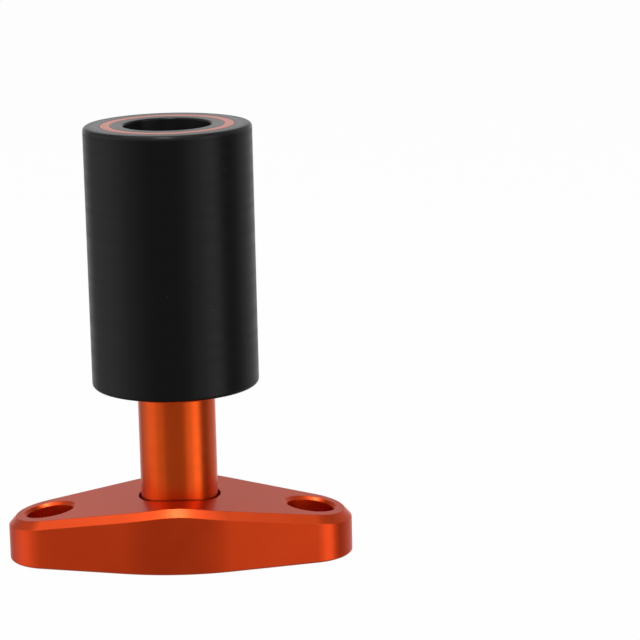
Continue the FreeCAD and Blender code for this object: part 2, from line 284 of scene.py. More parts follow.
def dust_group() -> NodeTree:
    """Sparse pale specks, such as fine dust on a dark skin.

    Returns:
        A group with a mask that is 1 on a speck.
    """
    build = GroupBuilder("dust_specks")
    build.takes("Spacing", 0.006)
    build.takes("Speck size", 0.03)
    cells = build.node("ShaderNodeTexVoronoi")
    cells.inputs["Randomness"].default_value = 1.0
    build.link(build.read("Position"), cells.inputs["Vector"])
    build.link(build.math("DIVIDE", 1.0, build.read("Spacing")), cells.inputs["Scale"])
    small = build.math("LESS_THAN", cells.outputs["Distance"], build.read("Speck size"))
    build.gives("Mask", small)
    return build.tree


def scuff_group() -> NodeTree:
    """Few short scuffs that run round the Z axis, as handling leaves them on a turned side.

    Returns:
        A group with a mask that rises to 1 in a scuff.
    """
    steepness = 25.0
    build = GroupBuilder("round_scuffs")
    for name, default in (("Length", 0.006), ("Height", 0.0003), ("Rarity", 0.72)):
        build.takes(name, default)
    place = build.node("ShaderNodeCombineXYZ")
    for socket, part, size in zip(place.inputs, build.split(build.read("Position")),
                                  ("Length", "Length", "Height")):
        build.link(build.math("DIVIDE", part, build.read(size)), socket)
    above = build.math("SUBTRACT", build.noise(place.outputs[0], 1.0, 1.0), build.read("Rarity"))
    raised = build.math("MAXIMUM", build.math("MULTIPLY", above, steepness), 0.0)
    build.gives("Mask", build.math("MINIMUM", raised, 1.0))
    return build.tree


# ---------------------------------------------------------------------------------------------
# Finishes


class FinishBuilder(NodeBuilder):
    """Small helper that fills a material round one Principled BSDF."""

    def __init__(self, name: str, groups: Groups) -> None:
        """Start a material with its shader, its output and the position on the piece.

        Args:
            name: Name of the material.
            groups: Shared node groups by name.
        """
        self.material = bpy.data.materials.new(name)
        self.material.use_nodes = True
        super().__init__(self.material.node_tree)
        self.tree.nodes.clear()
        self.groups = groups
        self.shader = self.node("ShaderNodeBsdfPrincipled")
        self.link(self.shader.outputs[0], self.node("ShaderNodeOutputMaterial").inputs["Surface"])
        self.position = self.node("ShaderNodeTexCoord").outputs["Object"]

    def set(self, **values: object) -> None:
        """Set constants on the shader's own sockets, with underscores for spaces."""
        for key, value in values.items():
            self.shader.inputs[key.replace("_", " ")].default_value = value

    def group(self, name: str, **values: float) -> Node:
        """Place one of the shared groups, fed with the position on the piece.

        Args:
            name: Name of the group.
            **values: Numbers for its inputs, with underscores for spaces.

        Returns:
            The group's node.
        """
        made = self.node("ShaderNodeGroup", node_tree=self.groups[name])
        self.link(self.position, made.inputs["Position"])
        for key, value in values.items():
            made.inputs[key.replace("_", " ")].default_value = value
        return made

    def tint(self, mask: NodeSocket, low: Colour, high: Colour) -> None:
        """Blend two colours and feed the base colour.

        Args:
            mask: Socket that goes from 0 to 1.
            low: Colour where it is 0.
            high: Colour where it is 1.
        """
        made = self.node("ShaderNodeMix", data_type="RGBA")
        made.inputs["A"].default_value = (*low, 1.0)
        made.inputs["B"].default_value = (*high, 1.0)
        self.link(mask, made.inputs["Factor"])
        self.link(made.outputs["Result"], self.shader.inputs["Base Color"])

    def roughen(self, value: NodeSocket, middle: float, swing: float) -> None:
        """Let a noise value vary the roughness.

        Args:
            value: Socket with the noise.
            middle: Roughness in the middle of its span.
            swing: How far the roughness goes either way.
        """
        self.link(self.span(value, middle - swing, middle + swing), self.shader.inputs["Roughness"])

    def relief(self, heights: list[tuple[NodeSocket, float]]) -> None:
        """Stack bumps and feed the normal.

        Args:
            heights: A height from 0 to 1 and its depth in metres for each bump.
        """
        normal = None
        for height, depth in heights:
            bump = self.node("ShaderNodeBump")
            bump.inputs["Strength"].default_value = 1.0
            bump.inputs["Distance"].default_value = depth
            self.link(height, bump.inputs["Height"])
            if normal is not None:
                self.link(normal, bump.inputs["Normal"])
            normal = bump.outputs[0]
        self.link(normal, self.shader.inputs["Normal"])

    def comb(self, strength: float) -> None:
        """Let reflections stretch across the turning lines.

        Args:
            strength: How far they stretch, from 0 to 1.
        """
        self.set(Anisotropic=strength, Anisotropic_Rotation=0.25)
        tangent = self.node("ShaderNodeTangent", direction_type="RADIAL", axis="Z")
        self.link(tangent.outputs[0], self.shader.inputs["Tangent"])


@dataclass(frozen=True)
class AnodisedAluminium:
    """Orange anodised aluminium, satin, turned or blasted before it was dyed."""

    marks: ToolMark
    dark: Colour = (0.84, 0.071, 0.004)
    light: Colour = (0.89, 0.081, 0.006)
    roughness: float = 0.36
    comb: float = 0.45
    lacquer: float = 0.19
    lacquer_roughness: float = 0.3
    lacquer_ior: float = 1.77
    grain_size: float = 0.00022
    mottle_size: float = 0.011
    grain_depth: float = 1.2e-6
    mottle_swing: float = 0.015
    line_pitch: float = 0.00018
    line_depth: float = 1.5e-6
    line_swing: float = 0.02

    def make(self, name: str, groups: Groups) -> Material:
        """Build the material.

        Args:
            name: Name of the material.
            groups: Shared node groups by name.

        Returns:
            The material.
        """
        build = FinishBuilder(name, groups)
        build.set(Metallic=1.0, Coat_Weight=self.lacquer, Coat_Roughness=self.lacquer_roughness,
                  Coat_IOR=self.lacquer_ior)
        grain = build.group("fine_grain", Grain_size=self.grain_size, Mottle_size=self.mottle_size)
        build.tint(build.span(grain.outputs["Mottle"], 0.0, 1.0), self.dark, self.light)
        heights = [(grain.outputs["Height"], self.grain_depth)]
        if self.marks is ToolMark.ROUND_THE_AXIS:
            lines = build.group("turning_lines", Pitch=self.line_pitch)
            heights.append((lines.outputs["Height"], self.line_depth))
            build.roughen(lines.outputs["Band"], self.roughness, self.line_swing)
            build.comb(self.comb)
        else:
            build.roughen(grain.outputs["Mottle"], self.roughness, self.mottle_swing)
        build.relief(heights)
        return build.material


@dataclass(frozen=True)
class TurnedPlastic:
    """Black engineering plastic, turned from bar."""

    dark: Colour = (0.0006, 0.0006, 0.0007)
    dusty: Colour = (0.035, 0.034, 0.034)
    roughness: float = 0.37
    comb: float = 0.45
    shine: float = 0.24
    dust_spacing: float = 0.007
    speck_size: float = 0.022
    scuff_length: float = 0.005
    scuff_height: float = 0.00035
    scuff_rarity: float = 0.74
    scuff_share: float = 0.3
    line_pitch: float = 0.00022
    line_swing: float = 0.03
    grain_size: float = 0.00025
    mottle_size: float = 0.012
    depth: float = 1.6e-6

    def make(self, name: str, groups: Groups) -> Material:
        """Build the material.

        Args:
            name: Name of the material.
            groups: Shared node groups by name.

        Returns:
            The material.
        """
        build = FinishBuilder(name, groups)
        build.set(Metallic=0.0, Specular_IOR_Level=self.shine)
        dust = build.group("dust_specks", Spacing=self.dust_spacing, Speck_size=self.speck_size)
        scuffs = build.group("round_scuffs", Length=self.scuff_length, Height=self.scuff_height,
                             Rarity=self.scuff_rarity)
        faint = build.math("MULTIPLY", scuffs.outputs["Mask"], self.scuff_share)
        build.tint(build.math("MAXIMUM", dust.outputs["Mask"], faint), self.dark, self.dusty)
        lines = build.group("turning_lines", Pitch=self.line_pitch)
        grain = build.group("fine_grain", Grain_size=self.grain_size, Mottle_size=self.mottle_size)
        build.roughen(lines.outputs["Band"], self.roughness, self.line_swing)
        build.relief([(lines.outputs["Height"], self.depth), (grain.outputs["Height"], self.depth)])
        build.comb(self.comb)
        return build.material


@dataclass(frozen=True)
class BlackOxideSteel:
    """Black oxide on a rolled and machined steel screw."""

    dark: Colour = (0.045, 0.045, 0.048)
    worn: Colour = (0.11, 0.108, 0.105)
    roughness: float = 0.38
    swing: float = 0.06
    grain_size: float = 0.00018
    mottle_size: float = 0.004
    line_pitch: float = 0.00025
    depth: float = 2.0e-6

    def make(self, name: str, groups: Groups) -> Material:
        """Build the material.

        Args:
            name: Name of the material.
            groups: Shared node groups by name.

        Returns:
            The material.
        """
        build = FinishBuilder(name, groups)
        build.set(Metallic=1.0)
        grain = build.group("fine_grain", Grain_size=self.grain_size, Mottle_size=self.mottle_size)
        lines = build.group("turning_lines", Pitch=self.line_pitch)
        build.tint(build.span(grain.outputs["Mottle"], 0.0, 1.0), self.dark, self.worn)
        build.roughen(grain.outputs["Mottle"], self.roughness, self.swing)
        build.relief([(grain.outputs["Height"], self.depth), (lines.outputs["Height"], self.depth)])
        return build.material


class Finishes:
    """All finishes of the frame slider, each made once."""

    def __init__(self) -> None:
        """Build the shared groups, then the materials."""
        groups = {
            "turning_lines": turning_lines_group(),
            "fine_grain": fine_grain_group(),
            "dust_specks": dust_group(),
            "round_scuffs": scuff_group(),
        }
        self.milled_orange = AnodisedAluminium(ToolMark.ALL_ROUND).make("anodised_milled", groups)
        # Darker, duller copy for the inside of the seats and holes: painted shade in the recesses.
        self.bored_orange_painted_shade = AnodisedAluminium(
            ToolMark.ALL_ROUND, dark=(0.66, 0.052, 0.003), light=(0.76, 0.068, 0.005),
            roughness=0.42, lacquer=0.08).make("anodised_bored_painted_shade", groups)
        # Redder copy with less green for the upright walls, which lie mostly in shade: painted
        # shade tone.
        self.wall_orange_painted_shade = AnodisedAluminium(
            ToolMark.ALL_ROUND, dark=(0.82, 0.059, 0.003), light=(0.87, 0.068, 0.005),
            lacquer=0.13).make("anodised_wall_painted_shade", groups)
        # Yellower copy for the spacer, whose side is mostly highlight: painted highlight tone over
        # real turning lines.
        self.turned_orange_painted_highlight = AnodisedAluminium(
            ToolMark.ROUND_THE_AXIS, dark=(0.82, 0.090, 0.005), light=(0.87, 0.101, 0.008),
            roughness=0.32, lacquer=0.09).make("anodised_turned_painted_highlight", groups)
        self.ring_orange = AnodisedAluminium(
            ToolMark.ROUND_THE_AXIS, dark=(0.92, 0.088, 0.005), light=(0.95, 0.098, 0.007),
            roughness=0.20, comb=0.3, lacquer=0.32).make("anodised_ring", groups)
        self.black_plastic = TurnedPlastic().make("black_plastic", groups)
        # Lighter base colour in the bore, on the edge rounding and on the end face: painted light.
        self.bored_plastic_painted_light = TurnedPlastic(
            dark=(0.010, 0.010, 0.010), roughness=0.30, comb=0.86).make(
            "black_plastic_bored_painted_light", groups)
        self.faced_plastic_painted_light = TurnedPlastic(
            dark=(0.010, 0.010, 0.010), roughness=0.24, comb=0.4, shine=0.5).make(
            "black_plastic_faced_painted_light", groups)
        self.black_steel = BlackOxideSteel().make("black_oxide_steel", groups)


# ---------------------------------------------------------------------------------------------
# Mesh helpers


def points_of(parts: Iterable[BMEdge | BMFace]) -> list[BMVert]:
    """Points of some edges or faces, each once."""
    return list({point for part in parts for point in part.verts})


def whole_faces(faces: list[BMFace]) -> list[object]:
    """Faces with their edges and points, as a cut takes them."""
    return faces + list({edge for face in faces for edge in face.edges}) + points_of(faces)


def only(kind: type, parts: Iterable[object]) -> list:
    """Parts of one kind, in their order."""
    return [part for part in parts if isinstance(part, kind)]


def draw_section(mesh: BMesh, corners: list[Corner], closed: bool = False) -> list[BMEdge]:
    """Draw a section as a wire in the XZ plane and break its corners.

    Args:
        mesh: Mesh that gets the wire.
        corners: Corners in order, in millimetres.
        closed: Whether the last corner is joined to the first.

    Returns:
        The wire's edges.
    """
    before = set(mesh.edges)
    points = [mesh.verts.new((corner.out * MM, 0.0, corner.up * MM)) for corner in corners]
    for first, second in zip(points, points[1:]):
        mesh.edges.new((first, second))
    if closed:
        mesh.edges.new((points[-1], points[0]))
    for point, corner in zip(points, corners):
        if corner.finish is not Break.SHARP:
            bmesh.ops.bevel(mesh, geom=[point], offset=corner.cut * MM, offset_type="OFFSET",
                            segments=corner.finish.value, profile=0.5, affect="VERTICES",
                            material=-1)
    return [edge for edge in mesh.edges if edge not in before]


def turn_section(mesh: BMesh, corners: list[Corner], steps: int, closed: bool = False,
                 across: float = 0.0) -> None:
    """Draw a section and spin it once round a vertical axis.

    Args:
        mesh: Mesh that gets the surface.
        corners: Corners in order, in millimetres from the axis.
        steps: Facets round the turn.
        closed: Whether the last corner is joined to the first.
        across: Where the axis stands on X, in millimetres.
    """
    wire = draw_section(mesh, corners, closed)
    points = points_of(wire)
    bmesh.ops.translate(mesh, verts=points, vec=(across * MM, 0.0, 0.0))
    bmesh.ops.spin(mesh, geom=points + wire, cent=(across * MM, 0.0, 0.0), axis=(0.0, 0.0, 1.0),
                   angle=FULL_TURN, steps=steps, use_merge=True, use_duplicate=False)


def draw_circle(mesh: BMesh, segments: int, radius: float, height: float) -> list[BMEdge]:
    """Draw a circle or a regular polygon about the Z axis.

    Args:
        mesh: Mesh that gets the wire.
        segments: How many edges it has.
        radius: Distance of its corners from the axis, in millimetres.
        height: Height of the wire.

    Returns:
        The wire's edges.
    """
    drawn = bmesh.ops.create_circle(mesh, cap_ends=False, segments=segments, radius=radius * MM,
                                    matrix=Matrix.Translation((0.0, 0.0, height * MM)))
    return list({edge for point in drawn["verts"] for edge in point.link_edges})


def edges_at(mesh: BMesh, height: float, reach: float = math.inf, faces: int = 1) -> list[BMEdge]:
    """Find the flat edges at one height that have a certain number of faces.

    Args:
        mesh: Mesh to search.
        height: Height of the edges, in millimetres.
        reach: Farthest that they lie from the Z axis.
        faces: How many faces each has, 1 for an open edge and 0 for a wire.

    Returns:
        The edges found.
    """
    return [edge for edge in mesh.edges if len(edge.link_faces) == faces
            and all(abs(point.co.z - height * MM) < MERGE
                    and math.hypot(point.co.x, point.co.y) < reach * MM for point in edge.verts)]


def fill_flat(mesh: BMesh, edges: list[BMEdge], up: float = 1.0) -> list[BMFace]:
    """Fill the flat area between closed loops.

    Args:
        mesh: Mesh that holds the loops.
        edges: The loops' edges.
        up: 1.0 where the area looks up, -1.0 where it looks down.

    Returns:
        The new faces.
    """
    filled = bmesh.ops.triangle_fill(mesh, use_beauty=True, use_dissolve=False, edges=edges,
                                     normal=(0.0, 0.0, up))
    return only(BMFace, filled["geom"])


def finish_piece(mesh: BMesh, name: str, node: str,
                 materials: tuple[Material, ...], sharp: float = 28.0) -> Object:
    """Close a mesh, shade it and put it on the frame in a CAD node's place.

    Args:
        mesh: Finished mesh, which is freed.
        name: Name of the piece.
        node: CAD node that it stands for.
        materials: Its finishes, the first one on every face that isn't marked otherwise.
        sharp: Angle in degrees from which an edge is shaded sharp.

    Returns:
        The piece's object.
    """
    bmesh.ops.remove_doubles(mesh, verts=mesh.verts[:], dist=MERGE)
    bmesh.ops.recalc_face_normals(mesh, faces=mesh.faces[:])
    for face in mesh.faces:
        face.smooth = True
    for edge in mesh.edges:
        edge.smooth = edge.calc_face_angle(math.pi) < math.radians(sharp)
    open_edges = sum(1 for edge in mesh.edges if len(edge.link_faces) != 2)
    if open_edges:
        log.warning("%s: %d open edges", name, open_edges)
    data = bpy.data.meshes.new(name)
    mesh.to_mesh(data)
    mesh.free()
    for material in materials:
        data.materials.append(material)
    piece = bpy.data.objects.new(name, data)
    bpy.context.scene.collection.objects.link(piece)
    weigh = piece.modifiers.new("even_normals", "WEIGHTED_NORMAL")
    weigh.keep_sharp = True
    weigh.weight = 100
    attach(piece, "root")
    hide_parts(node)
    return piece


@dataclass(frozen=True)
class Thread:
    """Metric screw thread as one helical surface, cut square at both ends."""

    major: float = 4.95
    pitch: float = 1.5
    depth_share: float = 0.54
    crest_share: float = 0.125
    root_share: float = 0.25
    steps: int = 48

    def wind(self, mesh: BMesh, bottom: float, top: float) -> None:
        """Wind the thread round the Z axis.

        Args:
            mesh: Mesh that gets the surface.
            bottom: Height where it begins, in millimetres.
            top: Height where it ends.
        """
        crest, root = self.crest_share * self.pitch, self.root_share * self.pitch
        flank = (self.pitch - crest - root) / 2.0
        minor = self.major - self.depth_share * self.pitch
        low = bottom - (bottom % self.pitch) - 2.0 * self.pitch
        wire = draw_section(mesh, [
            Corner(minor, low),
            Corner(minor, low + root),
            Corner(self.major, low + root + flank),
            Corner(self.major, low + root + flank + crest),
            Corner(minor, low + self.pitch),
        ])
        turns = math.ceil((top - low) / self.pitch) + 2
        before = set(mesh.faces)
        bmesh.ops.spin(mesh, geom=points_of(wire) + wire, cent=(0.0, 0.0, 0.0),
                       axis=(0.0, 0.0, 1.0), dvec=(0.0, 0.0, self.pitch * MM / self.steps),
                       angle=FULL_TURN * turns, steps=self.steps * turns, use_merge=False,
                       use_duplicate=False)
        made = [face for face in mesh.faces if face not in before]
        bmesh.ops.remove_doubles(mesh, verts=points_of(made), dist=MERGE)
        for height, upwards in ((bottom, False), (top, True)):
            made = [face for face in mesh.faces if face not in before and face.is_valid]
            bmesh.ops.bisect_plane(mesh, geom=whole_faces(made), dist=0.1 * MERGE,
                                   plane_co=(0.0, 0.0, height * MM), plane_no=(0.0, 0.0, 1.0),
                                   clear_outer=upwards, clear_inner=not upwards)


# ---------------------------------------------------------------------------------------------
# Sub-assemblies


@dataclass
class MountingPlate:
    """Milled plate: a long diamond, two slopes, a rounded ridge, a bevelled rim and sunk seats."""

    finishes: Finishes
    length: float = 104.0
    width: float = 45.4
    end_radius: float = 14.0
    corner_radius: float = 60.0
    thickness: float = 20.0
    ridge_radius: float = 42.0
    slope: float = 8.3
    bevel: float = 2.2
    foot: float = 0.5
    seat_spacing: float = 79.0
    hole_radius: float = 4.5
    seat_radius: float = 7.0
    seat_floor: float = 6.0
    seat_chamfer: float = 0.9
    spacer_seat_radius: float = 12.4
    spacer_seat_floor: float = 16.8
    thread: Thread = field(default_factory=lambda: Thread(major=5.05))
    thread_play: float = 0.07
    thread_slack: float = 0.01
    foot_strip: float = 1.4
    rim_strip: float = 0.5
    strip: float = 0.4
    foot_break: float = 0.07
    mouth_break: float = 0.06
    rim_break: float = 0.12
    seat_break: float = 0.08
    hole_break: float = 0.15
    spacer_seat_break: float = 0.1
    end_steps: int = 56
    corner_steps: int = 40
    seat_steps: int = 80
    spacer_seat_steps: int = 120
    foot_steps: int = 72
    ridge_strips: int = 18
    above_seat: float = 0.5

    def roof(self, across: float) -> float:
        """Work out the height of the upper side.

        Args:
            across: Distance along the plate from its middle, in millimetres.

        Returns:
            The height there, in millimetres.
        """
        slope = math.radians(self.slope)
        centre = self.thickness - self.ridge_radius
        reach = abs(across)
        tangent = self.ridge_radius * math.sin(slope)
        if reach < tangent:
            return centre + math.sqrt(self.ridge_radius ** 2 - reach ** 2)
        return centre + self.ridge_radius * math.cos(slope) - (reach - tangent) * math.tan(slope)

    def sweep_rim(self, mesh: BMesh) -> None:
        """Carry the rim's section round the outline: spun at the four arcs, drawn straight between.

        Args:
            mesh: Mesh that gets the rim.
        """
        wire = draw_section(mesh, [
            Corner(self.end_radius - self.foot_strip, 0.0),
            Corner(self.end_radius - self.foot, 0.0, self.foot_break, Break.FLAT),
            Corner(self.end_radius, self.foot, self.foot_break, Break.FLAT),
            Corner(self.end_radius, self.thickness - self.bevel, self.rim_break, Break.ROUND),
            Corner(self.end_radius - self.bevel, self.thickness, self.rim_break, Break.ROUND),
            Corner(self.end_radius - self.bevel - self.rim_strip, self.thickness),
        ])
        end = Vector((self.length / 2.0 - self.end_radius, 0.0, 0.0))
        corner = Vector((0.0, self.width / 2.0 - self.corner_radius, 0.0))
        reach = math.hypot(end.x, corner.y)
        lean = math.asin((self.corner_radius - self.end_radius) / reach)
        side = math.pi / 2.0 - lean - math.atan2(corner.y, end.x)
        arcs = (
            (end, self.end_radius, -side, side, self.end_steps),
            (corner, self.corner_radius, side, math.pi - side, self.corner_steps),
            (-end, self.end_radius, math.pi - side, math.pi + side, self.end_steps),
            (-corner, self.corner_radius, math.pi + side, FULL_TURN - side, self.corner_steps),
        )
        points = points_of(wire)
        bmesh.ops.rotate(mesh, verts=points, cent=(0.0, 0.0, 0.0),
                         matrix=Matrix.Rotation(-side, 3, "Z"))
        bmesh.ops.translate(mesh, verts=points, vec=end * MM)
        for index, (centre, radius, first, last, steps) in enumerate(arcs):
            turned = bmesh.ops.spin(mesh, geom=points_of(wire) + wire, cent=centre * MM,
                                    axis=(0.0, 0.0, 1.0), angle=last - first, steps=steps,
                                    use_merge=False, use_duplicate=False)
            wire = only(BMEdge, turned["geom_last"])
            drawn = bmesh.ops.extrude_edge_only(mesh, edges=wire)["geom"]
            moved = only(BMVert, drawn)
            wire = [edge for edge in only(BMEdge, drawn)
                    if all(point in moved for point in edge.verts)]
            following, next_radius = arcs[(index + 1) % len(arcs)][:2]
            outwards = Vector((math.cos(last), math.sin(last), 0.0))
            step = (following - centre) + (next_radius - radius) * outwards
            bmesh.ops.translate(mesh, verts=moved, vec=step * MM)
        bmesh.ops.remove_doubles(mesh, verts=mesh.verts[:], dist=5 * MERGE)

    def turn_holes(self, mesh: BMesh) -> None:
        """Turn the two screw seats and the spacer's seat, and wind the tapped hole's thread.

        Args:
            mesh: Mesh that gets them, with open rims at both sides of the plate.
        """
        for across in (self.seat_spacing / 2.0, -self.seat_spacing / 2.0):
            turn_section(mesh, [
                Corner(self.seat_radius + self.seat_chamfer + self.strip, self.thickness),
                Corner(self.seat_radius + self.seat_chamfer, self.thickness, self.seat_break,
                       Break.FLAT),
                Corner(self.seat_radius, self.thickness - self.seat_chamfer, self.seat_break,
                       Break.FLAT),
                Corner(self.seat_radius, self.seat_floor),
                Corner(self.hole_radius, self.seat_floor, self.hole_break, Break.FLAT),
                Corner(self.hole_radius, self.foot),
                Corner(self.hole_radius + self.foot, 0.0, self.mouth_break, Break.FLAT),
                Corner(self.hole_radius + self.foot + self.strip, 0.0),
            ], self.seat_steps, across=across)
        mouth = self.thread.major + self.thread_play
        turn_section(mesh, [
            Corner(self.spacer_seat_radius + self.strip, self.thickness),
            Corner(self.spacer_seat_radius, self.thickness, self.spacer_seat_break, Break.ROUND),
            Corner(self.spacer_seat_radius, self.spacer_seat_floor),
            Corner(mouth, self.spacer_seat_floor),
        ], self.spacer_seat_steps)
        turn_section(mesh, [
            Corner(mouth, self.foot),
            Corner(mouth + self.foot, 0.0, self.mouth_break, Break.FLAT),
            Corner(mouth + self.foot + self.strip, 0.0),
        ], self.foot_steps)
        self.thread.wind(mesh, self.foot, self.spacer_seat_floor)
        for height in (self.foot, self.spacer_seat_floor):
            fill_flat(mesh, edges_at(mesh, height, mouth + self.thread_slack))

    def close_faces(self, mesh: BMesh) -> None:
        """Fill the two sides round their holes, and cut the upper one into strips at the ridge.

        Args:
            mesh: Mesh with the rim and the holes.
        """
        fill_flat(mesh, edges_at(mesh, 0.0), -1.0)
        faces = fill_flat(mesh, edges_at(mesh, self.thickness))
        tangent = self.ridge_radius * math.sin(math.radians(self.slope))
        for index in range(self.ridge_strips + 1):
            across = tangent * (2.0 * index / self.ridge_strips - 1.0)
            faces = [face for face in faces if face.is_valid]
            cut = bmesh.ops.bisect_plane(mesh, geom=whole_faces(faces), dist=MERGE,
                                         plane_co=(across * MM, 0.0, 0.0),
                                         plane_no=(1.0, 0.0, 0.0))
            faces = list(set(only(BMFace, cut["geom"])) | {face for face in faces if face.is_valid})

    def lay_slopes(self, mesh: BMesh) -> None:
        """Lower everything above the spacer's seat onto the ridge and the two slopes.

        Args:
            mesh: Mesh of the whole plate, still with a flat upper side.
        """
        level = (self.spacer_seat_floor + self.above_seat) * MM
        for point in mesh.verts:
            if point.co.z > level:
                point.co.z += (self.roof(point.co.x / MM) - self.thickness) * MM

    def mark_faces(self, mesh: BMesh) -> None:
        """Give the faces inside the seats and holes, and the upright walls, their darker copies of
        the finish, which are painted shade.

        Args:
            mesh: Mesh of the whole plate.
        """
        seat_reach, spacer_seat_reach = self.seat_radius + 0.05, self.spacer_seat_radius + 0.02
        wall_lean = 0.15
        mesh.normal_update()
        for face in mesh.faces:
            middle = face.calc_center_median() / MM
            to_screw = math.hypot(abs(middle.x) - self.seat_spacing / 2.0, middle.y)
            bored = to_screw < seat_reach or math.hypot(middle.x, middle.y) < spacer_seat_reach
            if bored and middle.z > self.foot / 2.0:
                face.material_index = PlateCut.BORE.value
            elif abs(face.normal.z) < wall_lean:
                face.material_index = PlateCut.WALL.value

    def build(self) -> Object:
        """Make the plate.

        Returns:
            The piece.
        """
        mesh = bmesh.new()
        self.sweep_rim(mesh)
        self.turn_holes(mesh)
        self.close_faces(mesh)
        self.lay_slopes(mesh)
        self.mark_faces(mesh)
        finishes = (self.finishes.milled_orange, self.finishes.bored_orange_painted_shade,
                    self.finishes.wall_orange_painted_shade)
        return finish_piece(mesh, "milled_plate", "mounting_plate", finishes)


@dataclass
class Standoff:
    """Flanged tube between the plate and the puck."""

    finishes: Finishes
    base: float = 16.8
    length: float = 36.5
    radius: float = 11.6
    bore: float = 5.25
    flange_radius: float = 16.4
    flange: float = 2.2
    fillet: float = 1.0
    edge: float = 0.3
    steps: int = 144

    def build(self) -> Object:
        """Make the tube.

        Returns:
            The piece.
        """
        mesh = bmesh.new()
        step = self.base + self.length - self.flange
        top = self.base + self.length
        turn_section(mesh, [
            Corner(self.bore, self.base, self.edge, Break.FLAT),
            Corner(self.radius, self.base, self.edge, Break.FLAT),
            Corner(self.radius, step, self.fillet, Break.ROUND),
            Corner(self.flange_radius, step, self.edge, Break.ROUND),
            Corner(self.flange_radius, top, self.edge, Break.ROUND),
            Corner(self.bore, top, self.edge, Break.FLAT),
        ], self.steps, closed=True)
        return finish_piece(mesh, "turned_spacer", "flanged_spacer",
                            (self.finishes.turned_orange_painted_highlight,))


@dataclass
class PuckWithRing:
    """Turned plastic puck and the metal ring let into its outer end."""

    finishes: Finishes
    base: float = 53.3
    length: float = 78.4
    radius: float = 25.0
    edge: float = 1.2
    bore: float = 13.0
    bore_edge: float = 0.6
    web: float = 12.0
    screw_hole: float = 5.25
    hole_edge: float = 0.2
    ring_outer: float = 19.85
    ring_inner: float = 16.95
    ring_depth: float = 3.0
    ring_play: float = 0.05
    ring_edge: float = 0.12
    groove_edge: float = 0.08
    steps: int = 180
    sharp: float = 38.0

    def mark_faces(self, mesh: BMesh) -> None:
        """Give the bore, the edge rounding and the end face their smoother finishes, whose lighter
        base colour is painted light.

        Args:
            mesh: Mesh of the puck.
        """
        top = self.base + self.length
        end, rounding, bored = top - 0.02, top - self.edge + 0.1, self.bore + 0.5
        for face in mesh.faces:
            middle = face.calc_center_median() / MM
            if middle.z > end:
                face.material_index = PuckCut.END.value
            elif middle.z > rounding or math.hypot(middle.x, middle.y) < bored:
                face.material_index = PuckCut.BORE.value

    def build_puck(self) -> Object:
        """Make the puck.

        Returns:
            The piece.
        """
        mesh = bmesh.new()
        top = self.base + self.length
        floor = top - self.ring_depth
        turn_section(mesh, [
            Corner(self.screw_hole, self.base, self.hole_edge, Break.FLAT),
            Corner(self.radius, self.base, self.edge, Break.ROUND),
            Corner(self.radius, top, self.edge, Break.ROUND),
            Corner(self.ring_outer + self.ring_play, top, self.groove_edge, Break.FLAT),
            Corner(self.ring_outer + self.ring_play, floor),
            Corner(self.ring_inner - self.ring_play, floor),
            Corner(self.ring_inner - self.ring_play, top, self.groove_edge, Break.FLAT),
            Corner(self.bore, top, self.bore_edge, Break.ROUND),
            Corner(self.bore, self.base + self.web),
            Corner(self.screw_hole, self.base + self.web, self.hole_edge, Break.FLAT),
        ], self.steps, closed=True)
        self.mark_faces(mesh)
        finishes = (self.finishes.black_plastic, self.finishes.bored_plastic_painted_light,
                    self.finishes.faced_plastic_painted_light)
        return finish_piece(mesh, "turned_puck", "puck", finishes, self.sharp)

    def build_ring(self) -> Object:
        """Make the ring.

        Returns:
            The piece.
        """
        mesh = bmesh.new()
        top = self.base + self.length
        floor = top - self.ring_depth
        turn_section(mesh, [
            Corner(self.ring_inner, floor),
            Corner(self.ring_outer, floor),
            Corner(self.ring_outer, top, self.ring_edge, Break.ROUND),
            Corner(self.ring_inner, top, self.ring_edge, Break.ROUND),
        ], self.steps, closed=True)
        return finish_piece(mesh, "inlaid_ring", "accent_ring",
                            (self.finishes.ring_orange,))


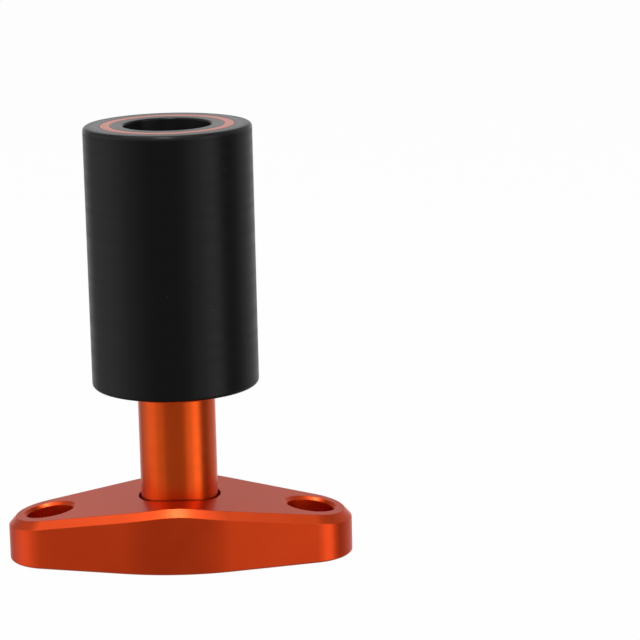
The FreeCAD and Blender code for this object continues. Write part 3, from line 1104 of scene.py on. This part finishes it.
@dataclass
class ClampScrew:
    """Socket head screw with its wide washer, deep in the puck's bore."""

    finishes: Finishes
    washer_base: float = 65.3
    washer_thickness: float = 2.0
    washer_radius: float = 12.5
    washer_hole: float = 5.25
    washer_edge: float = 0.3
    washer_hole_edge: float = 0.2
    shank: float = 5.0
    tip: float = 2.3
    thread_top: float = 34.3
    neck: float = 0.35
    tip_chamfer: float = 1.05
    head_radius: float = 8.0
    head_height: float = 10.0
    head_edge: float = 0.8
    head_foot_edge: float = 0.25
    knurl_foot: float = 0.9
    knurl_top: float = 1.2
    knurl_share: float = 0.975
    socket_mouth: float = 4.95
    socket_lead: float = 0.35
    key_size: float = 8.0
    key_depth: float = 5.0
    drill: float = 3.2
    drill_tip: float = 0.9
    steps: int = 96
    thread: Thread = field(default_factory=Thread)

    @property
    def seat(self) -> float:
        """Height of the head's seat on the washer."""
        return self.washer_base + self.washer_thickness

    @property
    def top(self) -> float:
        """Height of the head's outer face."""
        return self.seat + self.head_height

    def build_washer(self) -> Object:
        """Make the washer.

        Returns:
            The piece.
        """
        mesh = bmesh.new()
        turn_section(mesh, [
            Corner(self.washer_hole, self.washer_base),
            Corner(self.washer_radius, self.washer_base),
            Corner(self.washer_radius, self.seat, self.washer_edge, Break.ROUND),
            Corner(self.washer_hole, self.seat, self.washer_hole_edge, Break.FLAT),
        ], self.steps, closed=True)
        return finish_piece(mesh, "wide_washer", "bolt_washer",
                            (self.finishes.black_steel,))

    def turn_head(self, mesh: BMesh) -> None:
        """Turn the shank and the head, then press every second column of the head's side inwards.

        Args:
            mesh: Mesh that gets them, open at the thread and at the socket.
        """
        turn_section(mesh, [
            Corner(self.shank, self.thread_top + self.neck),
            Corner(self.shank, self.seat),
            Corner(self.head_radius, self.seat, self.head_foot_edge, Break.FLAT),
            Corner(self.head_radius, self.seat + self.knurl_foot),
            Corner(self.head_radius, self.top - self.knurl_top),
            Corner(self.head_radius, self.top, self.head_edge, Break.ROUND),
            Corner(self.socket_mouth, self.top),
        ], self.steps)
        low = (self.seat + (self.head_foot_edge + self.knurl_foot) / 2.0) * MM
        high = (self.top - (self.head_edge + self.knurl_top) / 2.0) * MM
        side = (self.shank + self.head_radius) / 2.0 * MM
        for point in mesh.verts:
            column = round(math.atan2(point.co.y, point.co.x) / FULL_TURN * self.steps)
            if low < point.co.z < high and column % 2 and math.hypot(point.co.x, point.co.y) > side:
                point.co.x *= self.knurl_share
                point.co.y *= self.knurl_share

    def sink_socket(self, mesh: BMesh) -> None:
        """Sink the hexagon into the head, with a short lead and a drilled bottom.

        Args:
            mesh: Mesh with the turned head.
        """
        lead, bottom = self.top - self.socket_lead, self.top - self.key_depth
        corner = self.key_size / 2.0 / math.cos(math.pi / 6.0)
        bmesh.ops.subdivide_edges(mesh, edges=draw_circle(mesh, 6, corner, lead),
                                  cuts=self.steps // 6 - 1)
        bmesh.ops.bridge_loops(mesh, edges=edges_at(mesh, lead, faces=0) + edges_at(mesh, self.top))
        sunk = bmesh.ops.extrude_edge_only(mesh, edges=edges_at(mesh, lead))
        moved = only(BMVert, sunk["geom"])
        for point in moved:
            point.co.z = bottom * MM
        floor = [edge for edge in mesh.edges if all(point in moved for point in edge.verts)]
        mouth = draw_circle(mesh, self.steps, self.drill, bottom)
        fill_flat(mesh, floor + mouth)
        cone = bmesh.ops.extrude_edge_only(mesh, edges=mouth)
        for point in only(BMVert, cone["geom"]):
            point.co = (0.0, 0.0, (bottom - self.drill_tip) * MM)

    def wind_tip(self, mesh: BMesh) -> None:
        """Wind the thread, chamfer its tip, close it and join it to the shank.

        Args:
            mesh: Mesh with the turned head and shank.
        """
        self.thread.wind(mesh, self.tip, self.thread_top)
        least = self.thread.major - self.tip_chamfer
        for point in mesh.verts:
            allowed = (least + point.co.z / MM - self.tip) * MM
            reach = math.hypot(point.co.x, point.co.y)
            if reach > allowed:
                point.co.x *= allowed / reach
                point.co.y *= allowed / reach
        bmesh.ops.contextual_create(mesh, geom=edges_at(mesh, self.tip))
        bmesh.ops.bridge_loops(mesh, edges=edges_at(mesh, self.thread_top)
                               + edges_at(mesh, self.thread_top + self.neck))

    def build_screw(self) -> Object:
        """Make the screw.

        Returns:
            The piece.
        """
        mesh = bmesh.new()
        self.turn_head(mesh)
        self.sink_socket(mesh)
        self.wind_tip(mesh)
        return finish_piece(mesh, "socket_screw", "clamp_bolt",
                            (self.finishes.black_steel,))


# ---------------------------------------------------------------------------------------------
# Studio


@dataclass(frozen=True)
class Softbox:
    """One soft lamp that faces the object."""

    name: str
    azimuth: float
    elevation: float
    distance: float
    wide: float
    high: float
    radiance: float

    def light(self, aim: Vector) -> None:
        """Make the lamp, with azimuth 0 at the camera's side and positive to its right.

        Args:
            aim: Point that it faces.
        """
        azimuth, elevation = math.radians(self.azimuth), math.radians(self.elevation)
        out = Vector((math.sin(azimuth) * math.cos(elevation),
                      -math.cos(azimuth) * math.cos(elevation), math.sin(elevation)))
        data = bpy.data.lights.new(self.name, "AREA")
        data.shape = "RECTANGLE"
        data.size = self.wide
        data.size_y = self.high
        data.energy = self.radiance * math.pi * self.wide * self.high
        lamp = bpy.data.objects.new(self.name, data)
        lamp.location = aim + out * self.distance
        lamp.rotation_euler = out.to_track_quat("Z", "Y").to_euler()
        lamp.visible_camera = False
        bpy.context.scene.collection.objects.link(lamp)


@dataclass(frozen=True)
class Ramp:
    """Level of the room that goes from low to high as a direction's share of an axis grows."""

    axis: str
    start: float
    end: float
    low: float
    high: float
    smooth: bool = False


@dataclass
class Studio:
    """Pale floor, white backdrop, soft lamps and the camera at the photograph's place."""

    room_level: float = 0.55
    mirrored_level: float = 0.39
    behind: Ramp = Ramp("Y", 0.61, 1.0, 0.0, 1.0, smooth=True)
    backdrop: Ramp = Ramp("Z", -0.02, 0.30, 0.61, 0.20)
    flag: Ramp = Ramp("X", 0.90, 0.985, 0.0, -0.20, smooth=True)
    aim: tuple[float, float, float] = (0.0, 0.0, 0.06)
    softboxes: tuple[Softbox, ...] = (
        Softbox("softbox_right", 61.0, 0.0, 0.95, 0.40, 1.3, 0.60),
        Softbox("softbox_right_wide", 50.0, 0.0, 0.95, 0.80, 1.3, 0.47),
        Softbox("softbox_right_rear", 125.0, 0.0, 0.95, 0.50, 1.3, 0.16),
        Softbox("softbox_left", -81.0, 0.0, 0.95, 0.62, 1.3, 0.29),
        Softbox("softbox_left_wide", -78.0, 0.0, 0.95, 1.65, 1.3, 0.275),
        Softbox("softbox_top", -45.0, 78.0, 1.0, 1.15, 1.15, 0.85),
        Softbox("softbox_overhead", -10.0, 78.0, 1.0, 0.20, 0.20, 17.5),
    )
    floor_radius: float = 3.0
    floor_steps: int = 96
    floor_drop: float = 0.00005
    floor_grey: float = 0.82
    floor_glow: float = 0.97
    sensor: float = 36.0
    lens: float = 153.771
    nearest: float = 0.01
    farthest: float = 20.0
    pitch: float = 12.4028
    roll: float = 1.2899
    place: tuple[float, float, float] = (0.04368234, -0.79808529, 0.24715227)

    def white_rays(self, build: NodeBuilder) -> tuple[NodeSocket, NodeSocket]:
        """Add masks of the rays that see the white backdrop.

        Args:
            build: Helper that holds the node tree.

        Returns:
            The mask of camera rays, and that of glossy or transmission rays.
        """
        path = build.node("ShaderNodeLightPath")
        mirrored = build.math("MAXIMUM", path.outputs["Is Glossy Ray"],
                              path.outputs["Is Transmission Ray"])
        return path.outputs["Is Camera Ray"], mirrored

    def build_backdrop(self) -> None:
        """Room: white for the camera and behind the floor, dimmer on the camera's side."""
        world = bpy.data.worlds.new("studio")
        bpy.context.scene.world = world
        world.use_nodes = True
        build = NodeBuilder(world.node_tree)
        build.tree.nodes.clear()
        camera, mirrored = self.white_rays(build)
        ways = dict(zip("XYZ", build.split(build.node("ShaderNodeTexCoord").outputs["Generated"])))
        behind, backdrop, flag = (
            build.span(ways[ramp.axis], ramp.low, ramp.high, ramp.start, ramp.end, ramp.smooth)
            for ramp in (self.behind, self.backdrop, self.flag))
        reflected = build.math("ADD", build.math("MULTIPLY", behind, backdrop), flag)
        change = build.math("ADD", reflected, self.mirrored_level - self.room_level)
        level = build.math("ADD", build.math("MULTIPLY", change, mirrored), self.room_level)
        level = build.math("ADD", build.math("MULTIPLY", camera, 1.0 - self.room_level), level)
        background = build.node("ShaderNodeBackground")
        build.link(level, background.inputs["Strength"])
        build.link(background.outputs[0], build.node("ShaderNodeOutputWorld").inputs["Surface"])

    def build_floor(self) -> None:
        """Pale floor that keeps the object's shadow and leaves no mark in its metal."""
        mesh = bmesh.new()
        bmesh.ops.create_circle(mesh, cap_ends=True, segments=self.floor_steps,
                                radius=self.floor_radius,
                                matrix=Matrix.Translation((0.0, 0.0, -self.floor_drop)))
        data = bpy.data.meshes.new("studio_floor")
        mesh.to_mesh(data)
        mesh.free()
        floor = bpy.data.objects.new("studio_floor", data)
        bpy.context.scene.collection.objects.link(floor)
        floor.visible_glossy = False
        floor.visible_shadow = False
        material = bpy.data.materials.new("pale_floor")
        material.use_nodes = True
        build = NodeBuilder(material.node_tree)
        build.tree.nodes.clear()
        share = build.math("MULTIPLY", build.math("MAXIMUM", *self.white_rays(build)),
                           self.floor_glow)
        matte = build.node("ShaderNodeBsdfDiffuse")
        grey = (self.floor_grey, self.floor_grey, self.floor_grey, 1.0)
        matte.inputs["Color"].default_value = grey
        glow = build.node("ShaderNodeEmission")
        glow.inputs["Strength"].default_value = 1.0
        mix = build.node("ShaderNodeMixShader")
        for socket, shade in zip(mix.inputs, (share, matte.outputs[0], glow.outputs[0])):
            build.link(shade, socket)
        build.link(mix.outputs[0], build.node("ShaderNodeOutputMaterial").inputs["Surface"])
        data.materials.append(material)

    def build_camera(self) -> None:
        """Camera that stands where the photograph was taken, rolled as it was."""
        pitch, roll = math.radians(self.pitch), math.radians(self.roll)
        ahead = Vector((0.0, math.cos(pitch), -math.sin(pitch)))
        down = Vector((0.0, -math.sin(pitch), -math.cos(pitch)))
        right = Vector((1.0, 0.0, 0.0))
        image_right = math.cos(roll) * right + math.sin(roll) * down
        image_down = math.cos(roll) * down - math.sin(roll) * right
        turn = Matrix((image_right, -image_down, -ahead)).transposed().to_4x4()
        data = bpy.data.cameras.new("photo_camera")
        data.sensor_width = self.sensor
        data.lens = self.lens
        data.clip_start = self.nearest
        data.clip_end = self.farthest
        camera = bpy.data.objects.new("photo_camera", data)
        camera.matrix_world = Matrix.Translation(self.place) @ turn
        bpy.context.scene.collection.objects.link(camera)
        bpy.context.scene.camera = camera

    def build(self) -> None:
        """Set up the studio."""
        self.build_backdrop()
        self.build_floor()
        for softbox in self.softboxes:
            softbox.light(Vector(self.aim))
        self.build_camera()
        bpy.context.scene.view_settings.view_transform = "Standard"


def main() -> None:
    """Build the studio, then the frame slider from its foot to its outer end."""
    logging.basicConfig(level=logging.INFO, format="%(name)s: %(message)s")
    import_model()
    Studio().build()
    finishes = Finishes()
    puck = PuckWithRing(finishes)
    screw = ClampScrew(finishes)
    for build in (MountingPlate(finishes).build, Standoff(finishes).build, puck.build_puck,
                  puck.build_ring, screw.build_washer, screw.build_screw):
        piece = build()
        log.info("%s: %d faces", piece.name, len(piece.data.polygons))


if __name__ == "__main__":
    main()
